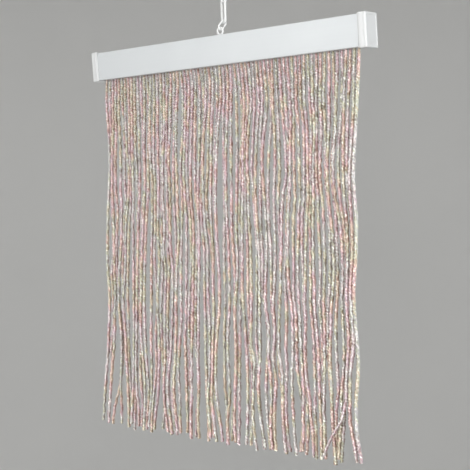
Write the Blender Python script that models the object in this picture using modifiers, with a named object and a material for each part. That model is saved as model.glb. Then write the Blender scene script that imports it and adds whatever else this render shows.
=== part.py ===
# Fly curtain: a short plastic headrail with end caps, hung by an eye and a chain,
# with a row of twisted film strands hanging from a strip in the rail's groove.
# Metres, +Z up. X runs along the rail, the front looks along -Y, and the origin
# is where the top link of the chain bears on the hook that holds the curtain.

import math

import bmesh
import bpy
import numpy as np
from mathutils import Matrix, Vector

MM = 0.001

# Rail, in the rail's own leaning frame
WIDTH = 320 * MM
CAP_HEIGHT = 30 * MM
CAP_DEPTH = 21 * MM
CAP_PROUD = 1.1 * MM
CAP_LIP = 4.8 * MM
CAP_RAMP = 1.4 * MM
CAP_END_WALL = 2 * MM
CAP_EDGE = 1.2 * MM
CAP_SEAT = 0.3 * MM
RAIL_WALL = 1.2 * MM
RAIL_EDGE = 0.6 * MM
GROOVE_HEIGHT = 9 * MM
SLOT_WIDTH = 5 * MM
LEAN = math.radians(6)
RAIL_CENTRE = Vector((0, 0, -62.75 * MM))

RAIL_HEIGHT = CAP_HEIGHT - 2 * CAP_PROUD
RAIL_DEPTH = CAP_DEPTH - 2 * CAP_PROUD
RAIL_LENGTH = WIDTH - 2 * (CAP_END_WALL + CAP_SEAT)

# Backing strip, a flange that rides on the groove's lips and a neck in the slot
FLANGE_WIDTH = 10 * MM
FLANGE_THICK = 2 * MM
NECK_WIDTH = 3.4 * MM
NECK_HEIGHT = 1.2 * MM
STRIP_SEAT = 0.3 * MM
STRIP_LEFT = -153 * MM
STRIP_RIGHT = 150 * MM

# Strands
STRAND_COUNT = 70
STRAND_SIDE = 2.5 * MM
STRAND_GAP = 0.65 * MM
ROOT_LEFT = -150.3
ROOT_RIGHT = 147
ROOT_SUNK = 0.7 * MM
STRAND_END = -431.5
STRAND_LEVELS = 18
LOWEST_SHARED_LEVEL = -415

# Hanger
WIRE_EYE = 1.8 * MM
EYE_WIDTH = 7.9 * MM
EYE_HEIGHT = 8.4 * MM
EYE_FOOT = 1.1 * MM
EYE_FOOT_RADIUS = 3.2 * MM
EYE_ALONG = 0.3 * MM
EYE_BEARING = math.radians(14)
LINK_WIRE = 2.3 * MM
LINK_WIDTH = 8.1 * MM
LINK_FOOT = 7.5 * MM
CONNECTOR_WIRE = 1.7 * MM
CONNECTOR_WIDTH = 6.9 * MM
LINK_GAP = 0.4 * MM
HOOK_POINT = Vector((0, 0, 0))
CHAIN_TOP = Vector((1.0, 1.75, -13.4)) * MM
CHAIN_BOTTOM = Vector((1.9, 1.65, -36.3)) * MM
CHAIN_TURN = math.radians(-18)
CONNECTOR_TURN = math.radians(80)

# The curtain's two side edges, as height and place along the rail, in millimetres
LEFT_EDGE = (
    (-75, -150.3), (-105, -149.9), (-135, -146.4), (-170, -144.7), (-205, -147.3), (-245, -149.2),
    (-270, -149.3), (-298, -145), (-325, -145.4), (-365, -149.4), (-395, -152.7), (-440, -156),
)
RIGHT_EDGE = (
    (-75, 147), (-95, 145.8), (-135, 143.5), (-185, 140.3), (-225, 143.7), (-255, 143),
    (-283, 140.2), (-315, 142.5), (-345, 145.7), (-380, 144), (-405, 144.5), (-440, 151.5),
)

# Openings between clumps of strands, in millimetres:
# top, bottom, place along the rail at the top, the middle and the bottom, width
PARTINGS = (
    (-127, -208, -134, -134.5, -134, 6), (-208, -279, -132, -133, -134.5, 7),
    (-217, -279, -144.5, -145, -145, 5.5), (-108, -136, -116.5, -116.5, -116.5, 2.5),
    (-157, -196, -122.5, -121.3, -120.5, 4.5), (-188, -214, -128, -126, -124.5, 2.5),
    (-156, -192, -111, -111, -111, 3), (-215, -425, -116, -116, -115.5, 9.5),
    (-178, -382, -89, -93.5, -91.5, 9), (-98, -145, -77.6, -77.6, -77.2, 3),
    (-88, -151, -65.5, -66.7, -66.5, 3.4), (-80, -180, -51.3, -52, -54.3, 6.4),
    (-172, -234, -53, -51.8, -51.3, 5), (-206, -261, -61.3, -60.9, -59.3, 6),
    (-206, -244, -74, -73, -72, 3), (-238, -291, -82.5, -81, -80.5, 6),
    (-288, -323, -84.5, -84, -83.3, 3), (-297, -352, -74.5, -73.6, -73.3, 3.4),
    (-320, -361, -79, -80, -78.6, 4.4), (-348, -390, -84, -84.5, -86, 4.4),
    (-266, -370, -62.3, -63.4, -65, 5.3), (-288, -323, -53, -53, -53, 3),
    (-208, -335, -45.2, -46.8, -46, 5.2), (-322, -480, -47.5, -47.5, -44, 11.5),
    (-278, -352, -36, -37.4, -37.7, 3), (-357, -402, -32.6, -32.1, -31.5, 4.5),
    (-84, -215, -29, -30, -30.8, 3.4), (-236, -400, -24.4, -24.4, -24, 6),
    (-375, -500, -23.5, -21.5, -19, 12), (-126, -194, -18, -19.6, -20.3, 4.3),
    (-303, -384, -16.3, -15.8, -15.5, 4.3), (-99, -163, -8.3, -9.4, -11.2, 3),
    (-258, -314, -7.8, -6.8, -6.5, 3.5), (-117, -280, -1, -2.6, 0.4, 8.5),
    (-268, -330, 0.8, 0.8, 0.6, 4.2), (-306, -424, 1, -1.8, 4, 9),
    (-78, -242, 13, 14.4, 14.3, 5.5), (-232, -312, 9, 11.6, 10.8, 3.8),
    (-308, -380, 10.6, 12, 12.8, 9), (-358, -403, 6.2, 7, 8.6, 5.3),
    (-114, -183, 36.5, 32.8, 31.3, 4.3), (-108, -153, 49.8, 47.6, 44, 3.3),
    (-148, -193, 49.2, 49.2, 50.8, 3.4), (-177, -274, 44.5, 47.5, 49.2, 4),
    (-205, -345, 34, 37.2, 35.5, 4), (-290, -480, 22.5, 25.2, 22, 11),
    (-296, -366, 46, 48.6, 47.3, 6), (-352, -432, 47.3, 46.9, 54.8, 5.2),
    (-240, -311, 54, 53.5, 52.6, 3.3), (-350, -404, 53.5, 54.4, 55.2, 5),
    (-128, -192, 58, 57.8, 57.6, 2.9), (-338, -362, 61.4, 61.4, 61.4, 3.3),
    (-143, -194, 69, 69.8, 72, 3.5), (-280, -353, 69.8, 69.4, 67.7, 5.8),
    (-366, -480, 65.3, 66.5, 76, 9), (-238, -292, 77.3, 77.9, 78, 4.3),
    (-328, -372, 78.6, 76.9, 74.4, 3.6), (-362, -470, 74.6, 77.5, 90, 8.5),
    (-124, -212, 83, 83.2, 85.6, 4.4), (-240, -300, 86.6, 87.6, 88.1, 3.3),
    (-318, -390, 86.5, 88, 92, 5), (-368, -421, 83.2, 86, 87.8, 5.6),
    (-308, -382, 97.8, 97.9, 100.6, 8), (-406, -470, 99.5, 98, 97, 8),
    (-238, -291, 104, 104.7, 106.2, 4.2), (-370, -399, 106.4, 105.4, 102.6, 4),
    (-196, -252, 108, 109, 110.4, 2.9), (-378, -480, 107, 107.5, 109, 7),
    (-246, -300, 115.4, 115.6, 113.7, 3.2), (-368, -480, 115.7, 118.3, 118.6, 7.5),
    (-86, -150, 128.8, 127, 126, 2.2), (-146, -214, 126, 124, 126.8, 2.7),
    (-188, -232, 117.4, 120.3, 122.3, 3), (-226, -302, 127.2, 128.4, 127, 3.4),
    (-290, -372, 126.8, 128.9, 129.6, 8), (-372, -425, 129, 127.3, 127.8, 7),
    (-366, -386, 134.4, 134.4, 134.4, 4), (-396, -480, 135, 138, 139, 13),
    (-336, -408, 142.8, 142, 142, 5), (-248, -293, -124.4, -125.8, -125, 4),
    (-308, -424, -136, -135, -144, 12), (-390, -480, -130, -136, -140, 12),
    (-365, -480, -126.2, -124.5, -122.5, 9), (-347, -410, -101.6, -100.6, -97, 3.6),
    (-388, -480, -109, -109.3, -110, 5.6), (-388, -480, -75, -78.8, -79.5, 11.5),
    (-408, -480, -71, -69, -68, 8), (-368, -412, -55.6, -55.1, -54, 3.3),
    (-405, -480, 36, 37, 38, 7.5), (-374, -470, 40, 42.5, 52, 6),
)

# A strand whose end swings across in front of its neighbours: which, how far along, how far forward
SWUNG_ENDS = ((66, -16, -6),)
SWING_TOP = -392
SWING_READY = -372

# Slow sway of the whole curtain, which runs back and to the left: size, turn from strand
# to strand, fall in a radian, and the heights where it starts and is full
SWAY = 2.5
SWAY_SLANT = -0.74
SWAY_TURN = 0.11
SWAY_FALL = 80
SWAY_TOP = -140
SWAY_FULL = -400

# How the strands settle between the partings, in millimetres
LEVEL_STEP = 4
LAYOUT_BOTTOM = -440
PARTING_MARGIN = 1.6
LEAST_STEP = 1.1
LEAST_PAIR = 3.3
SETTLE_TURNS = 160
SPREAD_RATE = 0.2
ROW_SMOOTHINGS = 4
LEVEL_TURNS = 40

# Unevenness of the strands' spacing: its share, turn from strand to strand, and fall in a radian
WAVERS = ((0.3, 2.4, 31), (0.22, 1.1, -47))
WAVER_TOP = -80
WAVER_FULL = -130

# Unevenness of the cut ends: height, turn from strand to strand, and start
END_WAVERS = ((1.7, 1.9, 0), (1.3, 0.83, 1))
LONGER_ENDS = (9, 15, 57, 62)
SHORTER_ENDS = (66, 67)
END_CHANGE = 4


def clear_scene():
    for item in list(bpy.data.objects):
        bpy.data.objects.remove(item, do_unlink=True)


def new_collection(name):
    collection = bpy.data.collections.new(name)
    bpy.context.scene.collection.children.link(collection)
    return collection


def material(name, colour, roughness):
    made = bpy.data.materials.new(name)
    made.use_nodes = True
    shader = made.node_tree.nodes["Principled BSDF"]
    shader.inputs["Base Color"].default_value = (*colour, 1)
    shader.inputs["Roughness"].default_value = roughness
    shader.inputs["Metallic"].default_value = 0
    made.diffuse_color = (*colour, 1)
    return made


def mesh_object(name, bm, collection):
    mesh = bpy.data.meshes.new(name)
    bm.normal_update()
    bm.to_mesh(mesh)
    bm.free()
    made = bpy.data.objects.new(name, mesh)
    collection.objects.link(made)
    return made


def add_box(bm, size, centre, frame=Matrix.Identity(4)):
    scale = Matrix.Diagonal((*size, 1))
    made = bmesh.ops.create_cube(bm, size=1, matrix=frame @ Matrix.Translation(centre) @ scale)
    return made["verts"]


def box_object(name, size, centre, collection):
    bm = bmesh.new()
    add_box(bm, size, centre)
    return mesh_object(name, bm, collection)


def cutter(name, size, centre, cutters, axis):
    made = box_object(name, size, centre, cutters)
    made.parent = axis
    return made


def boolean(target, operation, other):
    step = target.modifiers.new(other.name, "BOOLEAN")
    step.operation = operation
    step.object = other
    step.solver = "EXACT"


def bevel(target, width, segments):
    step = target.modifiers.new("edge", "BEVEL")
    step.width = width
    step.segments = segments
    step.limit_method = "ANGLE"
    step.angle_limit = math.radians(40)


def apply_modifiers(target):
    depsgraph = bpy.context.evaluated_depsgraph_get()
    done = bpy.data.meshes.new_from_object(target.evaluated_get(depsgraph))
    target.modifiers.clear()
    target.data = done


def finish(target, look):
    target.data.materials.clear()
    target.data.materials.append(look)


def rail_axis(collection):
    empty = bpy.data.objects.new("rail_axis", None)
    empty.location = RAIL_CENTRE
    empty.rotation_euler = (LEAN, 0, 0)
    collection.objects.link(empty)
    return empty


def make_headrail(parts, cutters, axis, look):
    """Box extrusion with a closed upper chamber and a groove that opens below."""
    rail = box_object("headrail", (RAIL_LENGTH, RAIL_DEPTH, RAIL_HEIGHT), (0, 0, 0), parts)
    bevel(rail, RAIL_EDGE, 2)
    through = WIDTH * 1.1
    inner_depth = RAIL_DEPTH - 2 * RAIL_WALL
    groove_floor = -RAIL_HEIGHT / 2 + RAIL_WALL
    groove_roof = groove_floor + GROOVE_HEIGHT
    chamber_floor = groove_roof + RAIL_WALL
    chamber_roof = RAIL_HEIGHT / 2 - RAIL_WALL
    chamber_centre = (0, 0, (chamber_floor + chamber_roof) / 2)
    chamber_size = (through, inner_depth, chamber_roof - chamber_floor)
    groove_centre = (0, 0, (groove_floor + groove_roof) / 2)
    groove_size = (through, inner_depth, GROOVE_HEIGHT)
    slot_centre = (0, 0, -RAIL_HEIGHT / 2)
    slot_size = (through, SLOT_WIDTH, 4 * RAIL_WALL)
    boolean(rail, "DIFFERENCE", cutter("chamber", chamber_size, chamber_centre, cutters, axis))
    boolean(rail, "DIFFERENCE", cutter("groove", groove_size, groove_centre, cutters, axis))
    boolean(rail, "DIFFERENCE", cutter("slot", slot_size, slot_centre, cutters, axis))
    rail.parent = axis
    finish(rail, look)
    return rail


def make_cap(side, parts, cutters, axis, look):
    """Cap whose lip stands proud of the rail and thins towards it on a short ramp."""
    name = "end_cap_right" if side > 0 else "end_cap_left"
    bm = bmesh.new()
    straight = CAP_END_WALL + CAP_LIP
    add_box(bm, (straight, CAP_DEPTH, CAP_HEIGHT), (side * (WIDTH - straight) / 2, 0, 0))
    inner = [face for face in bm.faces if face.normal.x * side < -0.5]
    ramp = bmesh.ops.extrude_face_region(bm, geom=inner)
    verts = [item for item in ramp["geom"] if isinstance(item, bmesh.types.BMVert)]
    bmesh.ops.delete(bm, geom=inner, context="FACES_ONLY")
    taper = 2 * (CAP_PROUD - CAP_SEAT) * 0.6
    for vert in verts:
        vert.co.x -= side * CAP_RAMP
        vert.co.y *= 1 - taper / CAP_DEPTH
        vert.co.z *= 1 - taper / CAP_HEIGHT
    bmesh.ops.recalc_face_normals(bm, faces=bm.faces)
    long_edges = [edge for edge in bm.edges if abs(edge.verts[0].co.x - edge.verts[1].co.x) > CAP_LIP / 2]
    end_edges = [edge for edge in bm.edges if all(vert.co.x * side > WIDTH / 2 - MM / 100 for vert in edge.verts)]
    bmesh.ops.bevel(bm, geom=long_edges + end_edges, offset=CAP_EDGE, segments=3, profile=0.5,
                    affect="EDGES", clamp_overlap=True)
    cap = mesh_object(name, bm, parts)
    socket_length = WIDTH / 2 - CAP_END_WALL
    socket_size = (socket_length, RAIL_DEPTH + 2 * CAP_SEAT, RAIL_HEIGHT + 2 * CAP_SEAT)
    socket_centre = (side * socket_length / 2, 0, 0)
    boolean(cap, "DIFFERENCE", cutter(name + "_socket", socket_size, socket_centre, cutters, axis))
    cap.parent = axis
    finish(cap, look)
    return cap


def edge_at(edge, height):
    drops = [-place[0] for place in edge]
    return float(np.interp(-height, drops, [place[1] for place in edge]))


def parting_at(parting, height):
    """Centre and width of one opening at a height, on a parabola with pointed ends."""
    top, bottom, at_top, at_middle, at_bottom, width = parting
    t = (top - height) / (top - bottom)
    centre = (1 - t) * (1 - 2 * t) * at_top + 4 * t * (1 - t) * at_middle + t * (2 * t - 1) * at_bottom
    return centre, width * math.sin(math.pi * t) ** 0.7


def keep_apart(row):
    """Pushes strands that are too close in the same layer away from each other."""
    for apart, least in ((1, LEAST_STEP), (2, LEAST_PAIR)):
        for _ in range(2):
            short = np.clip(least - (row[apart:] - row[:-apart]), 0, None)
            row[:-apart] -= short / 2
            row[apart:] += short / 2


def settle_row(row, height, openings):
    """Spreads one level's strands between the edges while the openings part them."""
    index = np.arange(STRAND_COUNT)
    first, last = edge_at(LEFT_EDGE, height), edge_at(RIGHT_EDGE, height)
    waver = sum(share * np.sin(turn * index[1:] + height / fall) for share, turn, fall in WAVERS)
    uneven = 1 + waver * smooth(WAVER_TOP, WAVER_FULL, height)
    wish = uneven * (last - first) / uneven.sum()
    for _ in range(SETTLE_TURNS):
        pull = SPREAD_RATE * (row[1:] - row[:-1] - wish)
        row[:-1] += pull
        row[1:] -= pull
        for left, centre, half in openings:
            row[left] -= max(0, row[left] - centre + half) / 2
            row[left + 1] += max(0, centre + half - row[left + 1]) / 2
        keep_apart(row)
        row[0], row[-1] = first, last
    return row


def strand_layout():
    """Heights, and each strand's place along the rail at each height, in millimetres."""
    heights = np.arange(LEFT_EDGE[0][0], LAYOUT_BOTTOM - 1, -LEVEL_STEP)
    row = np.linspace(ROOT_LEFT, ROOT_RIGHT, STRAND_COUNT)
    rows = [row.copy()]
    parted = {}
    for height in heights[1:]:
        openings = []
        for number, parting in enumerate(PARTINGS):
            if parting[1] < height < parting[0]:
                centre, width = parting_at(parting, height)
                if number not in parted:
                    parted[number] = int(np.argmin(abs((row[1:] + row[:-1]) / 2 - centre)))
                openings.append((parted[number], centre, width / 2 + PARTING_MARGIN))
        row = settle_row(row, height, openings)
        rows.append(row.copy())
    rows = np.array(rows)
    for _ in range(ROW_SMOOTHINGS):
        rows[1:-1] = (rows[:-2] + 2 * rows[1:-1] + rows[2:]) / 4
    return heights, rows


def strand_ends():
    """Height of each strand's cut end, in millimetres: uneven, with a few longer ones."""
    index = np.arange(STRAND_COUNT)
    ends = STRAND_END + sum(height * np.sin(turn * index + start) for height, turn, start in END_WAVERS)
    ends[list(LONGER_ENDS)] -= END_CHANGE
    ends[list(SHORTER_ENDS)] += END_CHANGE
    return ends


def smooth(start, stop, value):
    t = np.clip((value - start) / (stop - start), 0, 1)
    return t * t * (3 - 2 * t)


def strand_points():
    """Points of every strand from its root to its end: one array of levels, strands, xyz."""
    heights, rows = strand_layout()
    root = strip_mouth()
    shared = np.linspace(root.z / MM, LOWEST_SHARED_LEVEL, STRAND_LEVELS)
    levels = np.vstack([np.repeat(shared[:, None], STRAND_COUNT, axis=1), strand_ends()])
    across = np.empty_like(levels)
    for strand in range(STRAND_COUNT):
        across[:, strand] = np.interp(-levels[:, strand], -heights, rows[:, strand])
    for _ in range(LEVEL_TURNS):
        for row in across[1:]:
            keep_apart(row)
    wave = np.sin(SWAY_TURN * np.arange(STRAND_COUNT) + levels / SWAY_FALL)
    sway = SWAY * wave * smooth(SWAY_TOP, SWAY_FULL, levels)
    across += SWAY_SLANT * sway
    depth = strand_depths(across)
    for strand, along, forward in SWUNG_ENDS:
        height = levels[:, strand]
        across[:, strand] += along * smooth(SWING_TOP, height[-1], height)
        depth[:, strand] += (forward - depth[:, strand]) * smooth(SWING_READY, SWING_TOP, height)
    depth += sway
    return np.dstack([across * MM, depth * MM + root.y, levels * MM])


def strand_depths(across):
    """Alternate strands step forward and back wherever two of them close up."""
    room = (STRAND_SIDE + STRAND_GAP) / MM
    close = np.diff(across, axis=1) < room
    held = close.copy()
    held[:-1] |= close[1:]
    held[1:] |= close[:-1]
    busy = np.zeros(across.shape, dtype=bool)
    busy[:, :-1] |= held
    busy[:, 1:] |= held
    busy[0] = False
    side = np.where(np.arange(STRAND_COUNT) % 2 == 0, -1, 1)
    return busy * side * room / 2


def rail_matrix():
    return Matrix.Translation(RAIL_CENTRE) @ Matrix.Rotation(LEAN, 4, "X")


def strip_mouth():
    """Middle of the neck's lower face, where the strands come out."""
    flange_bottom = -RAIL_HEIGHT / 2 + RAIL_WALL + STRIP_SEAT
    return rail_matrix() @ Vector((0, 0, flange_bottom - NECK_HEIGHT))


def make_strip(cutters):
    bm = bmesh.new()
    flange_bottom = -RAIL_HEIGHT / 2 + RAIL_WALL + STRIP_SEAT
    length = STRIP_RIGHT - STRIP_LEFT
    middle = (STRIP_LEFT + STRIP_RIGHT) / 2
    flange = (length, FLANGE_WIDTH, FLANGE_THICK)
    add_box(bm, flange, (middle, 0, flange_bottom + FLANGE_THICK / 2), rail_matrix())
    strip = mesh_object("strand_curtain", bm, cutters)
    neck = bmesh.new()
    rise = NECK_HEIGHT + FLANGE_THICK / 2
    add_box(neck, (length, NECK_WIDTH, rise), (middle, 0, flange_bottom - NECK_HEIGHT + rise / 2), rail_matrix())
    boolean(strip, "UNION", mesh_object("neck", neck, cutters))
    apply_modifiers(strip)
    return strip


def add_strand(bm, points):
    """Four-sided strand: a short block drawn down level by level from its lower face."""
    start = Vector(points[0])
    block = add_box(bm, (STRAND_SIDE, STRAND_SIDE, ROOT_SUNK), start + Vector((0, 0, ROOT_SUNK / 2)))
    faces = {face for vert in block for face in vert.link_faces}
    lower = min(faces, key=lambda face: face.calc_center_median().z)
    for before, after in zip(points[:-1], points[1:]):
        drawn = bmesh.ops.extrude_face_region(bm, geom=[lower])
        bmesh.ops.delete(bm, geom=[lower], context="FACES_ONLY")
        lower = next(item for item in drawn["geom"] if isinstance(item, bmesh.types.BMFace))
        bmesh.ops.translate(bm, verts=lower.verts, vec=Vector(after) - Vector(before))


def make_strand_curtain(parts, cutters, look):
    """Backing strip with every strand fused to it at the root only."""
    curtain = make_strip(cutters)
    bm = bmesh.new()
    points = strand_points()
    for strand in range(STRAND_COUNT):
        add_strand(bm, points[:, strand])
    bmesh.ops.recalc_face_normals(bm, faces=bm.faces)
    boolean(curtain, "UNION", mesh_object("strands", bm, cutters))
    apply_modifiers(curtain)
    cutters.objects.unlink(curtain)
    parts.objects.link(curtain)
    finish(curtain, look)
    return curtain


def oval_ring(name, bottom, top, turn, widths, wire, collection):
    """Closed link of round wire between two bearing points, as wide as stated at its top and foot."""
    rise = (top - bottom).normalized()
    across = Vector((math.cos(turn), math.sin(turn), 0))
    across = (across - rise * across.dot(rise)).normalized()
    head, foot = ((width - wire) / 2 for width in widths)
    curve = bpy.data.curves.new(name, "CURVE")
    curve.dimensions = "3D"
    curve.bevel_depth = wire / 2
    curve.bevel_resolution = 2
    spline = curve.splines.new("POLY")
    points = []
    for centre, start, radius in ((top - rise * head, 0, head), (bottom + rise * foot, math.pi, foot)):
        for step in range(9):
            angle = start + math.pi * step / 8
            points.append(centre + radius * (math.cos(angle) * across + math.sin(angle) * rise))
    spline.points.add(len(points) - 1)
    for place, point in zip(spline.points, points):
        place.co = (*point, 1)
    spline.use_cyclic_u = True
    ring = bpy.data.objects.new(name, curve)
    collection.objects.link(ring)
    return ring


def as_mesh(ring, name, collection):
    depsgraph = bpy.context.evaluated_depsgraph_get()
    mesh = bpy.data.meshes.new_from_object(ring.evaluated_get(depsgraph))
    bm = bmesh.new()
    bm.from_mesh(mesh)
    bmesh.ops.remove_doubles(bm, verts=bm.verts, dist=MM / 100)
    bmesh.ops.recalc_face_normals(bm, faces=bm.faces)
    made = mesh_object(name, bm, collection)
    bpy.data.objects.remove(ring, do_unlink=True)
    return made


def eye_bearing():
    """Middle of the eye's wire where the connector link pulls, and the wire's direction there."""
    radius = (EYE_WIDTH - WIRE_EYE) / 2
    centre = Vector((EYE_ALONG, 0, RAIL_HEIGHT / 2 + CAP_SEAT + EYE_HEIGHT - WIRE_EYE / 2 - radius))
    outward = Vector((math.sin(EYE_BEARING), 0, math.cos(EYE_BEARING)))
    along = rail_matrix().to_3x3() @ Vector((outward.z, 0, -outward.x))
    return rail_matrix() @ (centre + outward * radius), along


def make_rail_eye(parts, cutters, axis, look):
    """Upright eye on a round foot, seated on the middle of the rail's top."""
    base = RAIL_HEIGHT / 2 + CAP_SEAT
    bottom = Vector((EYE_ALONG, 0, base + WIRE_EYE / 2))
    top = Vector((EYE_ALONG, 0, base + EYE_HEIGHT - WIRE_EYE / 2))
    wire = oval_ring("eye_wire", bottom, top, 0, (EYE_WIDTH, EYE_WIDTH), WIRE_EYE, cutters)
    ring = as_mesh(wire, "eye_ring", cutters)
    bm = bmesh.new()
    bmesh.ops.create_cone(bm, cap_ends=True, segments=24, radius1=EYE_FOOT_RADIUS, radius2=EYE_FOOT_RADIUS * 0.85,
                          depth=EYE_FOOT, matrix=Matrix.Translation((EYE_ALONG, 0, base + EYE_FOOT / 2)))
    eye = mesh_object("rail_eye", bm, parts)
    boolean(eye, "UNION", ring)
    apply_modifiers(eye)
    eye.parent = axis
    finish(eye, look)
    return eye


def make_chain(parts, look):
    """Connector link, lower chain link and upper chain link, each bearing on the next."""
    eye, along = eye_bearing()
    pull = CHAIN_BOTTOM - eye
    rise = (pull - along * pull.dot(along)).normalized()
    connector_bottom = eye - rise * (WIRE_EYE / 2 + LINK_GAP + CONNECTOR_WIRE / 2)
    rise = (CHAIN_BOTTOM - connector_bottom).normalized()
    connector_top = CHAIN_BOTTOM + rise * (LINK_WIRE / 2 + LINK_GAP + CONNECTOR_WIRE / 2)
    upper_top = HOOK_POINT + Vector((0, 0, LINK_WIRE / 2))
    pull = (upper_top - CHAIN_TOP).normalized()
    upper_bottom = CHAIN_TOP - pull * (LINK_WIRE + LINK_GAP)
    links = (
        ("connector_link", connector_bottom, connector_top, CONNECTOR_TURN,
         (CONNECTOR_WIDTH, CONNECTOR_WIDTH), CONNECTOR_WIRE),
        ("chain_link_lower", CHAIN_BOTTOM, CHAIN_TOP, CHAIN_TURN, (LINK_WIDTH, LINK_FOOT), LINK_WIRE),
        ("chain_link_upper", upper_bottom, upper_top, CHAIN_TURN + math.pi / 2,
         (LINK_WIDTH, LINK_FOOT), LINK_WIRE),
    )
    for name, bottom, top, turn, widths, wire in links:
        finish(as_mesh(oval_ring(name + "_wire", bottom, top, turn, widths, wire, parts), name, parts), look[name])


def main():
    clear_scene()
    parts = new_collection("fly_curtain")
    cutters = new_collection("cutters")
    axis = rail_axis(parts)
    white = (0.86, 0.87, 0.87)
    make_headrail(parts, cutters, axis, material("rail_white", (0.83, 0.85, 0.86), 0.35))
    make_cap(-1, parts, cutters, axis, material("cap_white_left", white, 0.4))
    make_cap(1, parts, cutters, axis, material("cap_white_right", white, 0.4))
    make_strand_curtain(parts, cutters, material("film_strands", (0.74, 0.68, 0.66), 0.3))
    make_rail_eye(parts, cutters, axis, material("eye_white", white, 0.3))
    names = ("connector_link", "chain_link_lower", "chain_link_upper")
    make_chain(parts, {name: material(name + "_white", white, 0.3) for name in names})
    for item in cutters.objects:
        item.hide_render = True
        item.display_type = "WIRE"


main()
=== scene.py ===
# Fly curtain: the finish of a white headrail with its end caps, eye and chain, and the
# twisted pearly film strands that hang from the strip in its groove.
# Metres, +Z up. X runs along the rail and the front looks along -Y.

import math

import bmesh
import bpy
import numpy as np
from mathutils import Matrix, Vector


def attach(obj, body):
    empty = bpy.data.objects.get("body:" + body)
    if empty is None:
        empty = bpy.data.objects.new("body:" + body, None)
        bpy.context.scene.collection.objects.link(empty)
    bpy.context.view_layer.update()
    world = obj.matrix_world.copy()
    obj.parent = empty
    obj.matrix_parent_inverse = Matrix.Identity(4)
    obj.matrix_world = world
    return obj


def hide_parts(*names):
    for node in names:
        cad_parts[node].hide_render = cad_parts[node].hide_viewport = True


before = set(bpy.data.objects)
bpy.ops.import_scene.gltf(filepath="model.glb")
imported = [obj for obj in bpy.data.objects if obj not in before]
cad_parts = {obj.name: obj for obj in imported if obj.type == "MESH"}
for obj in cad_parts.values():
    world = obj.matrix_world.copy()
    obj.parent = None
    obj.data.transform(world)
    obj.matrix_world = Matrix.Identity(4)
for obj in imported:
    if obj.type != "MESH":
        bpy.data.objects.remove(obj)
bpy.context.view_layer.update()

MM = 0.001
TINY = 0.01 * MM

# Camera at the photograph's viewing angle: place, focal length and rise of the picture
CAMERA_PLACE = Vector((543.1, -714.3, -232)) * MM
CAMERA_TURN = math.radians(36.41)
CAMERA_LENS = 72.77
CAMERA_SENSOR = 36
CAMERA_SHIFT = -5 / 470
CAMERA_NEAR = 0.01

# Rail, in the rail's own leaning frame
WIDTH = 320 * MM
CAP_HEIGHT = 30 * MM
CAP_DEPTH = 21 * MM
CAP_PROUD = 1.1 * MM
CAP_LIP = 4.8 * MM
CAP_RAMP = 1.4 * MM
CAP_END_WALL = 2 * MM
CAP_EDGE = 1.2 * MM
CAP_SEAT = 0.3 * MM
RAIL_WALL = 1.2 * MM
RAIL_EDGE = 0.7 * MM
GROOVE_HEIGHT = 9 * MM
SLOT_WIDTH = 5 * MM
LEAN = math.radians(6)
RAIL_CENTRE = Vector((0, 0, -62.75 * MM))

RAIL_HEIGHT = CAP_HEIGHT - 2 * CAP_PROUD
RAIL_DEPTH = CAP_DEPTH - 2 * CAP_PROUD
RAIL_LENGTH = WIDTH - 2 * (CAP_END_WALL + CAP_SEAT)

# Backing strip, a flange that rides on the groove's lips and a neck in the slot
FLANGE_WIDTH = 10 * MM
FLANGE_THICK = 2 * MM
NECK_WIDTH = 3.4 * MM
NECK_HEIGHT = 1.2 * MM
STRIP_SEAT = 0.3 * MM
STRIP_LEFT = -153 * MM
STRIP_RIGHT = 150 * MM

# Hanger: the eye on its foot, the connector link and the two chain links
WIRE_EYE = 1.8 * MM
EYE_WIDTH = 7.9 * MM
EYE_HEIGHT = 8.4 * MM
EYE_FOOT = 1.1 * MM
EYE_FOOT_RADIUS = 3.2 * MM
EYE_ALONG = 0.3 * MM
EYE_BEARING = math.radians(14)
LINK_WIRE = 2.3 * MM
LINK_WIDTH = 8.1 * MM
LINK_FOOT = 7.5 * MM
CONNECTOR_WIRE = 1.7 * MM
CONNECTOR_WIDTH = 6.9 * MM
LINK_GAP = 0.4 * MM
HOOK_POINT = Vector((0, 0, 0))
CHAIN_TOP = Vector((1.0, 1.75, -13.4)) * MM
CHAIN_BOTTOM = Vector((1.9, 1.65, -36.3)) * MM
CHAIN_TURN = math.radians(-18)
CONNECTOR_TURN = math.radians(80)

# Strands, as they lie in the CAD solids
STRAND_COUNT = 70
STRAND_SIDE = 2.5 * MM
STRAND_GAP = 0.65 * MM
ROOT_LEFT = -150.3
ROOT_RIGHT = 147
STRAND_END = -431.5
STRAND_LEVELS = 18
LOWEST_SHARED_LEVEL = -415

# Share of the bars' steps in depth that the cords keep, near the top and at the foot, and
# how many times a strand's line is smoothed
PRESSED_TOP = 0.4
PRESSED_FOOT = 0.9
LINE_SMOOTHINGS = 3

# Cord of film that makes one strand: folded strips wound round each other, thinner at the root.
# A ply's section lists its points as place within the ply and share of the radius.
CORD_RADIUS = 1.66 * MM
ROOT_SHARE = 0.8
ROOT_SPREAD = 26 * MM
ROOT_SUNK = 0.7 * MM
PLIES = 5
PLY_SECTION = ((0.0, 0.6), (0.6, 1.0))
RING_STEP = 0.85 * MM
TWIST_PITCH = 13 * MM
STRANDS_A_PIECE = 14

# Play of a cord's form at random, and how many rings lie between two folds of each play
PLY_PLAY = 0.15
PLY_TURN_PLAY = 0.13
PLY_RINGS = 2
PITCH_PLAY = 0.12
PITCH_RINGS = 24
FULLNESS_PLAY = 0.1
FULLNESS_RINGS = 16
WAVE_PLAY = 1.3
WAVE_RINGS = 20
LEAST_KNOTS = 3
KNOT_STEPS = (0.5, 1.5)

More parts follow.
